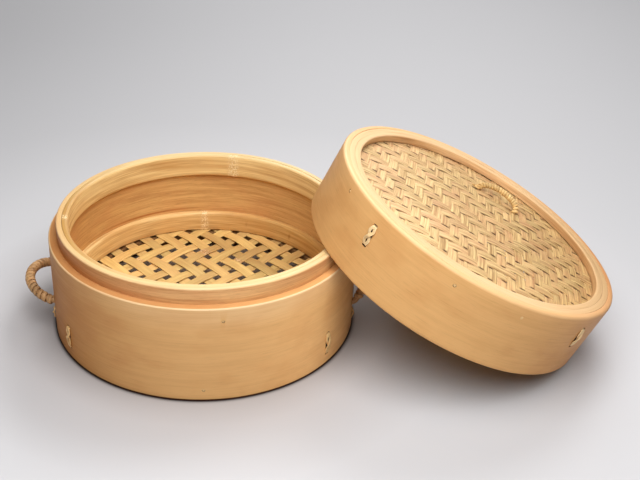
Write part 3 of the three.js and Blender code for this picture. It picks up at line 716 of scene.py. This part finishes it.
def strip(shape, along, across, offset, width, crossings, seed, *, thickness, middle, swing, radius, step,
          crown, uneven, nodes=(), shade=None, gaps=0.0, tones=(0.0, 1.0)):
    """One strip that winds over and under.

    crossings are pairs of a distance along and 1 for over or 0 for under. middle gives the weave's mid
    height at a point, and swing is how far the strip goes up and down from it. radius is where the strip
    ends, step the distance between its rows of points, and gaps the chance of a slit with painted shadow.
    """
    rnd = random.Random(seed)
    tone = tones[0] + (tones[1] - tones[0]) * rnd.random()
    shift, tilt = rnd.uniform(-0.2, 0.2), rnd.uniform(-0.0015, 0.0015)
    lifts = [rnd.uniform(1 - uneven, 1 + uneven) for _ in crossings]
    crossings = sorted(crossings)
    slits = slit_shadows(crossings, gaps, rnd)
    marks = height_marks(crossings, lifts)
    reach = sqrt(max(radius ** 2 - offset ** 2, 0))
    count = max(6, int(2 * reach / step))
    rows = []
    for i in range(count + 1):
        f = i / count
        row = []
        for a, b in STRIP_SECTION:
            t = a * width / 2 * (1 + WIDTH_WAVER * sin(seed * 2.3 + f * 9))
            lateral = offset + shift + t
            end = sqrt(max(radius ** 2 - lateral ** 2, 1.0))
            s = -end + 2 * end * f
            point = along * s + across * (lateral + tilt * s)
            free = clamp((radius - EDGE_FREE - point.length) / EDGE_FADE)
            free = free * free * (3 - 2 * free)
            rise = swing * free + thickness * FLAT_SWING * (1 - free)
            z = middle(point) + height_at(marks, s) * rise + (b - 0.5) * thickness
            # The mark layer: painted shadow in the slits where the strip dives, and the bamboo's own marks at
            # its nodes.
            mark = 0.0
            for place, side, half in slits:
                mark = max(mark, exp(-((s - place) / SLIT_LONG) ** 4 - ((a - side) / half) ** 4))
            for node, size in nodes:
                mark = max(mark, exp(-((s - node) / size) ** 4))
                z += exp(-((s - node) / NODE_LONG) ** 2) * (NODE_RISE if b > 0.5 else 0)
            point.z = z + (crown * (1 - a * a) if b > 0.5 else 0)
            # Painted shade across the sheet, from shade
            painted_shade = shade(point) if shade else 0.0
            row.append(shape.add(point, (s, seed * GRAIN_APART, t), seed * DEPTH_APART + b * thickness, tone,
                                 mark, painted_shade))
        rows.append(row)
    shape.skin(rows)


def span_numbers(shift, pitch, radius):
    """The number and offset of each strip that fits in a sheet."""
    numbers = range(-20, 21)
    return [(i, shift + i * pitch) for i in numbers if abs(shift + i * pitch) < radius - 0.3 * pitch]


def crossing_list(own, across, along, others, other_across, over):
    found = []
    for number, offset in others:
        place = (offset - own[1] * across.dot(other_across)) / along.dot(other_across)
        found.append((place, 1 if over(own[0], number) else 0))
    return found


# The basket's floor
FLOOR_WEAVE = {"thickness": 1.15, "middle": lambda point: WEAVE_Z, "swing": 1.25, "radius": 135.8,
               "step": 1.6, "crown": 0.15, "uneven": 0.22}
WARP_WIDTH, WEFT_WIDTH = 11.8, 11.0
WARP_NODES = {1: ((84.0, 2.2),), -4: ((60.0, 2.0),), 4: ((30.0, 2.0),), -2: ((-70.0, 2.2),)}
WEFT_NODES = {3: ((54.0, 5.0),), 1: ((68.0, 2.2),), 5: ((-6.0, 2.0),), -3: ((-40.0, 2.2),)}
warp_dir, weft_dir = turned(135.6), turned(50.4)
warp_across, weft_across = turned(45.6), turned(140.4)
warps = span_numbers(17.0, 19.6, 136)
wefts = span_numbers(2.8, 18.7, 136)


def warp_over(i, j):
    return (i + j) % 4 >= 2


def floor_strip(kind, index, own, along, across, width, marks, seed, nodes):
    shape = Shape()
    strip(shape, along, across, own[1], width, marks, seed, nodes=nodes.get(own[0], ()), **FLOOR_WEAVE)
    number = f"{kind}_{index + 1:02d}"
    shape.build(f"weave_{number}", BASKET, STRIP, "basket", [f"floor_{number}"], "strip_bamboo")


for index, warp in enumerate(warps):
    marks = crossing_list(warp, warp_across, warp_dir, wefts, weft_across, warp_over)
    floor_strip("warp", index, warp, warp_dir, warp_across, WARP_WIDTH, marks, 11 + index, WARP_NODES)
for index, weft in enumerate(wefts):
    marks = crossing_list(weft, weft_across, weft_dir, warps, warp_across, lambda j, i: not warp_over(i, j))
    floor_strip("weft", index, weft, weft_dir, weft_across, WEFT_WIDTH, marks, 41 + index, WEFT_NODES)


# Cane strands along a path
def smooth_path(points, per=6, closed=False):
    """A smooth curve through the points, with per steps from each to the next."""
    n = len(points)
    out = []
    for i in range(n if closed else n - 1):
        near = [(i + k) % n if closed else min(max(i + k, 0), n - 1) for k in (-1, 0, 1, 2)]
        p = [Vector(points[k]) for k in near]
        for s in range(per):
            t = s / per
            a = 2 * p[1] + (p[2] - p[0]) * t + (2 * p[0] - 5 * p[1] + 4 * p[2] - p[3]) * t * t
            out.append((a + (3 * p[1] - p[0] - 3 * p[2] + p[3]) * t ** 3) / 2)
    if not closed:
        out.append(Vector(points[-1]))
    return out


def strand(shape, path, wides, width, thickness, tones, seed, closed=False, sides=12, flat=0.75):
    """A flat strand. wides and tones give the direction of its width and its tone at each point."""
    rows = []
    n = len(path)
    run = 0.0
    for i, point in enumerate(path):
        before = path[i - 1] if i or closed else point
        after = path[(i + 1) % n] if i < n - 1 or closed else point
        run += (point - before).length if i else 0
        along = (after - before).normalized()
        wide = wides[i] - along * wides[i].dot(along)
        wide.normalize()
        thin = along.cross(wide)
        row = []
        for j in range(sides):
            a = 2 * pi * (j + 0.5) / sides
            x = copysign(abs(cos(a)) ** flat, cos(a)) * width / 2
            y = copysign(abs(sin(a)) ** 0.9, sin(a)) * thickness / 2
            row.append(shape.add(point + wide * x + thin * y, (run, seed, x), y + seed, tones[i]))
        rows.append(row)
    shape.skin(rows, closed=closed)


STITCH_SIDE = 1.0  # how far a strand lies beside the slot's middle
STITCH_LIFT = 1.5  # how far it rises where it crosses over itself


def lashing(name, heading, low, high, inside, place, material, body, node, width=3.2, bulge=2.4):
    """A strand that goes twice through two slots and crosses itself outside, like an 8."""
    face, back = OUTER_R + 0.75, inside - 0.8
    low, high = low + 0.7, high - 0.7
    mid, quarter = (low + high) / 2, (high - low) / 4

    def turn(side, over):
        near, wide, half = side * STITCH_SIDE, side * bulge, side * bulge * 0.55
        return [(face - 2.4, near, high - 0.2), (face - 0.3, near * 1.2, high - 1.0),
                (face + 0.2, wide, high - quarter), (face + over * 0.7, half, mid + quarter * 0.4),
                (face + over, 0, mid),
                (face + over * 0.7, -half, mid - quarter * 0.4), (face + 0.2, -wide, low + quarter),
                (face - 0.3, -near * 1.2, low + 1.0), (face - 2.4, -near, low + 0.2),
                (back + 2.4, -near, low + 0.2), (back, -near, low + 1.4), (back, -near, mid),
                (back, -near, high - 1.4), (back + 2.4, -near, high - 0.2)]

    path = smooth_path(turn(-1, 0.0) + turn(1, STITCH_LIFT), per=5, closed=True)
    n = len(path)
    shape = Shape()
    strand(shape, path, [Vector((0, 1, 0))] * n, width, 1.0, [0.5] * n, seed=heading, closed=True)
    shape.build(name, place @ about_z(heading), material, body, [node], "cane", sharp=60)


for i, heading in enumerate(LASHINGS):
    lashing(f"basket_stitch_{i + 1}", heading, LASH_LOW, LASH_HIGH, LOWER_HOOP_INSIDE, BASKET, DARK_THREAD,
            "basket", f"lashing_{i + 1}")
for i, heading in enumerate(TIES):
    lashing(f"handle_stitch_{i + 1}", heading, LASH_LOW, TIE_HIGH, LOWER_HOOP_INSIDE, BASKET, DARK_THREAD,
            "basket", f"handle_tie_{i + 1}", width=2.1, bulge=2.1)


# Wound handles
ARCH_STEPS = 10


def arch(span, reach, rise, leg, stem):
    """A handle's path: two legs of the wall's depth and more, and an arch that stands out by reach."""
    points = [Vector((-leg, -span / 2, 0)), Vector((-leg / 2, -span / 2, 0))]
    for i in range(ARCH_STEPS + 1):
        a = pi * i / ARCH_STEPS
        out = reach * sin(a)
        points.append(Vector((stem + out * cos(rise), -span / 2 * cos(a), out * sin(rise))))
    points += [Vector((-leg / 2, span / 2, 0)), Vector((-leg, span / 2, 0))]
    return smooth_path(points, per=24)


class Line:
    """A path that can be read at any distance, with a frame that doesn't twist."""

    def __init__(self, path, rise):
        self.path = path
        self.normal = Vector((-sin(rise), 0, cos(rise)))
        self.dist = [0.0]
        for a, b in zip(path, path[1:]):
            self.dist.append(self.dist[-1] + (b - a).length)
        self.length = self.dist[-1]

    def at(self, d):
        d = min(max(d, 0), self.length - 1e-6)
        low, high = 0, len(self.dist) - 1
        while high - low > 1:
            m = (low + high) // 2
            low, high = (m, high) if self.dist[m] <= d else (low, m)
        t = (d - self.dist[low]) / max(self.dist[high] - self.dist[low], 1e-9)
        along = (self.path[high] - self.path[low]).normalized()
        normal = (self.normal - along * self.normal.dot(along)).normalized()
        return self.path[low].lerp(self.path[high], t), along, normal, along.cross(normal)


def rod(shape, line, radius, step=1.5, sides=16):
    rows = []
    count = int(line.length / step)
    for i in range(count + 1):
        d = line.length * i / count
        point, _, normal, side = line.at(d)
        row = []
        for j in range(sides):
            a = 2 * pi * j / sides
            out = (normal * cos(a) + side * sin(a)) * radius
            row.append(shape.add(point + out, (d, 0, radius * a)))
        rows.append(row)
    shape.skin(rows)


def blend(values, f):
    """The value at a place between two of the values, f counting from the first."""
    k = int(f)
    return values[k] + (values[k + 1] - values[k]) * (f - k)


def winding(shape, line, bare, radius, turns, thickness, cover, seed, per=22):
    """A flat strand wound on a rod, which stays bare at both ends. cover is its width over the pitch."""
    rnd = random.Random(seed)
    pitch = (line.length - bare - bare) / turns
    sags = [rnd.uniform(-0.07, 0.07) * pitch for _ in range(turns + 2)]  # along the rod, for each turn
    shades = [rnd.random() for _ in range(turns + 2)]
    sizes = [rnd.uniform(-0.06, 0.08) for _ in range(turns + 2)]  # out from it, over the thickness
    path, wides, tones = [], [], []
    for i in range(turns * per + 1):
        f = i / per
        point, along, normal, side = line.at(bare + pitch * f + blend(sags, f))
        a = 2 * pi * f
        bulk = thickness / 2 + blend(sizes, f) * thickness
        path.append(point + (normal * cos(a) + side * sin(a)) * (radius + bulk))
        wides.append(along)
        tones.append(blend(shades, f))
    strand(shape, path, wides, pitch * cover, thickness, tones, seed, sides=14, flat=0.85)


def wound_handle(label, place, line, material, radius, turns, bare, thickness, cover, seed):
    core, wrap = Shape(), Shape()
    rod(core, line, radius)
    core.build(f"{label}_rod", place, material, label, [f"{label}_core"], "cane")
    winding(wrap, line, bare, radius, turns, thickness, cover, seed)
    wrap.build(f"{label}_wrap", place, material, label, [f"{label}_winding"], "cane", sharp=70)


HANDLE_BARE = {"left": 6.6, "right": 14.4}
HANDLE_SEED = {"left": 3, "right": 4}
for label, heading in HANDLES.items():
    root = sqrt(OUTER_R ** 2 - (HANDLE_SPAN / 2) ** 2)
    place = BASKET @ about_z(heading) @ Matrix.Translation((root, 0, HANDLE_Z))
    rise = HANDLE_RISE[label]
    line = Line(arch(HANDLE_SPAN, HANDLE_REACH, rise, HANDLE_LEG, HANDLE_STEM), rise)
    wound_handle(f"{label}_handle", place, line, DARK_CANE, HANDLE_ROD, HANDLE_TURNS, HANDLE_BARE[label],
                 thickness=1.75, cover=0.87, seed=HANDLE_SEED[label])

# Lid
Ring(LID_SKIRT_R - 0.1, OUTER_R, 0, LID_H, rounds=(1.6, 3.0, 0.25, 0.6), seed=6, shade=lid_shade,
     pale_top=3.2).build(
    "lid_outer_wall", LID, LID_WALL, "lid", ["lid_outer_band"], "band_wood",
    cutters=lid_slots() + peg_holes(LID_SMALL_PEGS, 1.55) + grooves(LID_LASHINGS, LID_LOW, LID_HIGH))
Ring(LID_BAND_INSIDE, LID_BAND_R + 0.1, LID_BAND_LOW, LID_H - 0.1, rounds=(0.5, 0.25, 0.25, 0.5), seed=7,
     shade=lid_shade).build(
    "lid_inner_wall", LID, RIM, "lid", ["lid_inner_band"], "band_wood", cutters=lid_slots())
Ring(RECESS_R, LID_HOOP_R + 0.15, RIM_LOW, LID_H - 0.15, rounds=(0.3, 0.25, 1.6, 0.3), seed=8,
     shade=lid_shade).build(
    "lid_rim_ring", LID, RIM, "lid", ["lid_rim_hoop"], "band_wood")
Ring(RECESS_R, LID_HOOP_R, CLAMP_LOW, CLAMP_TOP, rounds=(0.5, 0.5, 0.5, 0.8), seed=9, pale_top=0).build(
    "lid_clamp_ring", LID, HOOP, "lid", ["lid_clamp_hoop"], "hoop_bamboo", cutters=lid_slots())
for i, heading in enumerate(LID_LASHINGS):
    lashing(f"lid_stitch_{i + 1}", heading, LID_LOW, LID_HIGH, RECESS_R, LID, THREAD, "lid",
            f"lid_lashing_{i + 1}")


# The lid's mat
def dome(point):
    r = hypot(point.x, point.y)
    return MAT_TOP - MAT_THICK / 2 + MAT_RISE * max(0.0, 1 - (r / (RECESS_R - 0.6)) ** 2)


# Painted shade: the mat darkens toward the lid's lower end, at +x.
def mat_shade(point):
    return clamp(0.45 + point.x / 200)


MAT_WEAVE = {"thickness": 0.6, "middle": dome, "swing": 0.76, "radius": 134.5, "step": 1.0, "crown": 0.05,
             "uneven": 0.12, "shade": mat_shade}
MAT_REACH = 131  # no strip's middle is farther out
TURN = 2  # the twill turns back at this strip
NARROW = 8  # from this strip on they are narrower
a_dir, a_across = turned(81.7), turned(-8.3)
b_dir, b_across = turned(-4.3), turned(85.7)
a_strips = [(i, 25.4 + 10.0 * (i - TURN)) for i in range(-14, NARROW)]
a_strips += [(NARROW + i, 84.0 + 8.6 * i) for i in range(6)]
b_strips = span_numbers(0.6, 12.0, 134)


def a_over(i, j):
    side = i if i <= TURN else 2 * TURN - i
    return (j + side) % 4 < 2


mat = Shape()
for number, offset in a_strips:
    if abs(offset) < MAT_REACH:
        marks = crossing_list((number, offset), a_across, a_dir, b_strips, b_across, a_over)
        strip(mat, a_dir, a_across, offset, 9.5 if number < NARROW else 8.2, marks, 101 + number, gaps=0.8,
              tones=(0.35, 1.0), **MAT_WEAVE)
for own in b_strips:
    marks = crossing_list(own, b_across, b_dir, a_strips, a_across, lambda j, i: not a_over(i, j))
    strip(mat, b_dir, b_across, own[1], 11.2, marks, 201 + own[0], tones=(0.1, 0.8), **MAT_WEAVE)
mat.build("lid_woven_mat", LID, MAT, "lid", ["lid_mat"], "strip_bamboo")

# The lid's handle, with its knot
spot = turned(LID_HANDLE_HEADING) * LID_HANDLE_OUT
up = Vector((0, 0, 1))
run = Vector((cos(LID_HANDLE_TWIST), sin(LID_HANDLE_TWIST), 0))
back = Vector((-sin(LID_HANDLE_TWIST), cos(LID_HANDLE_TWIST), 0))
on_mat = Matrix.Translation((spot.x, spot.y, dome(spot))) @ Matrix((up, run, back)).transposed().to_4x4()
stand = LID @ on_mat
line = Line(arch(LID_HANDLE_SPAN, LID_HANDLE_REACH, LID_HANDLE_LEAN, LID_HANDLE_LEG, LID_HANDLE_STEM),
            LID_HANDLE_LEAN)
wound_handle("lid_handle", stand, line, CANE, LID_ROD, LID_HANDLE_TURNS, bare=4.6, thickness=1.6, cover=0.82,
             seed=5)

KNOT = (  # up from the mat, along the handle's span and across it
    (2.9, -29.8, -4.6), (2.6, -28.4, -2.8), (2.3, -26.9, -1.0), (2.4, -24.6, -2.9), (3.0, -21.6, -2.2),
    (3.3, -20.6, 0.6), (3.2, -22.4, 2.9), (3.0, -25.2, 2.2), (3.4, -26.0, -0.4), (4.2, -24.0, -2.9),
    (4.6, -21.2, -1.8), (4.6, -20.6, 1.0), (4.0, -22.8, 3.0), (3.0, -25.4, 2.6), (2.3, -26.4, 3.0))
knot_path = smooth_path(KNOT)
knot_size = len(knot_path)
knot = Shape()
strand(knot, knot_path, [Vector((1, 0, 0.2))] * knot_size, 1.9, 0.9, [0.75] * knot_size, seed=5)
knot.build("lid_handle_knot", stand, CANE, "lid_handle", (), "cane", sharp=60)

# Pegs
PEG_SIDES = 20
PEG_TIP = ((-0.15, 1), (0.12, 0.94), (0.25, 0.7), (0.28, 0.3))  # distance out and share of the radius


def round_peg(name, place, body, radius, length, replaces=()):
    peg = Shape()
    rows = []
    for d, share in ((-length, 1), *PEG_TIP):
        row = []
        for j in range(PEG_SIDES):
            a = 2 * pi * j / PEG_SIDES
            y, z = radius * share * cos(a), radius * share * sin(a)
            row.append(peg.add((d, y, z), (d, 0, y), z))
        rows.append(row)
    peg.skin(rows)
    peg.build(name, place, PEG, body, replaces, "hoop_bamboo")


def small_pegs(name, places, place, body, radius):
    for i, (heading, height) in enumerate(places):
        on_wall = place @ about_z(heading) @ Matrix.Translation((OUTER_R - 0.25, 0, height))
        round_peg(f"{name}_{i + 1}", on_wall, body, radius, length=1.7)


pivot_out = sqrt(OUTER_R ** 2 - PIVOT_X ** 2) - 0.1
for i, side in enumerate((-1, 1)):
    place = (LID @ Matrix.Translation((PIVOT_X, side * pivot_out, PIVOT_Z))
             @ Matrix.Rotation(side * pi / 2, 4, "Z"))
    round_peg(f"lid_pivot_peg_{i + 1}", place, "lid_pegs", radius=1.6, length=5.4,
              replaces=[f"lid_peg_{i + 1}"])
small_pegs("basket_peg", BASKET_PEGS, BASKET, "basket", 1.1)
small_pegs("lid_peg_small", LID_SMALL_PEGS, LID, "lid", 1.2)

# The bar below the mat that takes the handle's legs
BAR_HALF, BAR_STEPS = 35, 20
BAR_SECTION = ((-7, -4), (7, -4), (7, -0.3), (6.6, 0), (-6.6, 0), (-7, -0.3))
bar = Shape()
rows = []
for i in range(BAR_STEPS + 1):
    d = -BAR_HALF + 2 * BAR_HALF / BAR_STEPS * i
    rows.append([bar.add(spot + run * d + back * w + up * (MAT_TOP - MAT_THICK + 0.5 + t), (d, 0, w), t)
                 for w, t in BAR_SECTION])
bar.skin(rows)
bar.build("lid_backing_strip", LID, HOOP, "lid", ["lid_backing_bar"], "hoop_bamboo")

# Floor, in metres
FLOOR_HALF, FLOOR_DROP = 8, 0.0002
FLOOR_SHADOW_STOPS = (  # distance from the basket's axis and colour: painted shade under the basket, a painted contact shadow where its wall stands, and a painted soft shadow round it
    (0.1445, (166, 148, 134)), (0.1480, (40, 22, 12)), (0.1508, (40, 22, 12)), (0.1530, (170, 166, 166)),
    (0.1850, (188, 185, 186)), (0.2600, (201, 200, 202)), (0.5, (192, 191, 193)))
FLOOR_REACH = FLOOR_SHADOW_STOPS[-1][0]
corners = [(x * FLOOR_HALF, y * FLOOR_HALF, -FLOOR_DROP) for x, y in ((-1, -1), (1, -1), (1, 1), (-1, 1))]
floor_mesh = bpy.data.meshes.new("floor")
floor_mesh.from_pydata(corners, [], [(0, 1, 2, 3)])
floor = in_scene("floor", floor_mesh)
floor_mat = bpy.data.materials.new("floor")
floor_mat.use_nodes = True
tree = floor_mat.node_tree
position = add_node(tree, "NewGeometry").outputs["Position"]
from_basket = add_node(tree, "VectorMath", {0: position, 1: BASKET.translation * TO_M},
                       operation="DISTANCE").outputs["Value"]
share = add_node(tree, "MapRange", {"Value": from_basket, "From Max": FLOOR_REACH})
ramp = add_node(tree, "ValToRGB", {"Fac": share.outputs["Result"]})
elements = ramp.color_ramp.elements
for radius, _ in FLOOR_SHADOW_STOPS[1:-1]:
    elements.new(radius / FLOOR_REACH)
for element, (radius, colour) in zip(elements, FLOOR_SHADOW_STOPS):
    element.position = radius / FLOOR_REACH
    element.color = srgb(*colour)
# Far from the object, the floor keeps its pale colour for the camera only
from_middle = add_node(tree, "VectorMath", {0: position}, operation="LENGTH").outputs["Value"]
fade = add_node(tree, "MapRange",
                {"Value": from_middle, "From Min": 0.9, "From Max": 3.2, "To Max": 0.82},
                interpolation_type="SMOOTHSTEP").outputs["Result"]
by_camera = add_node(tree, "LightPath").outputs["Is Camera Ray"]
seen = add_node(tree, "Math", {0: by_camera, 1: fade}, operation="MULTIPLY").outputs[0]
surface = tree.nodes["Principled BSDF"]
surface.inputs["Roughness"].default_value = 0.7
surface.inputs["Emission Color"].default_value = srgb(214, 213, 215)
tree.links.new(ramp.outputs["Color"], surface.inputs["Base Color"])
tree.links.new(seen, surface.inputs["Emission Strength"])
floor_mesh.materials.append(floor_mat)

# Light
LIT_STRENGTH = 0.06  # the background's strength as light on the object
SEEN_STRENGTH = 0.6  # and where the camera sees it
world = bpy.data.worlds.new("world")
bpy.context.scene.world = world
world.use_nodes = True
tree = world.node_tree
by_camera = add_node(tree, "LightPath").outputs["Is Camera Ray"]
glow = add_node(tree, "MapRange",
                {"Value": by_camera, "To Min": LIT_STRENGTH, "To Max": SEEN_STRENGTH})
background = tree.nodes["Background"]
background.inputs["Color"].default_value = srgb(250, 250, 252)
tree.links.new(glow.outputs["Result"], background.inputs["Strength"])


def area(name, location, size, power, target=(0, 0, 0.08)):
    light = bpy.data.lights.new(name, "AREA")
    light.shape = "DISK"
    light.size = size
    light.energy = power
    obj = in_scene(name, light)
    obj.location = location
    obj.rotation_euler = (Vector(target) - Vector(location)).to_track_quat("-Z", "Y").to_euler()
    obj.visible_camera = False


area("overhead", (0.04, -0.42, 0.87), size=1.05, power=12.8)
area("back_right", (0.5, 1.0, 1.4), size=0.8, power=13)
area("back", (0.0, 1.6, 1.2), size=0.8, power=10)
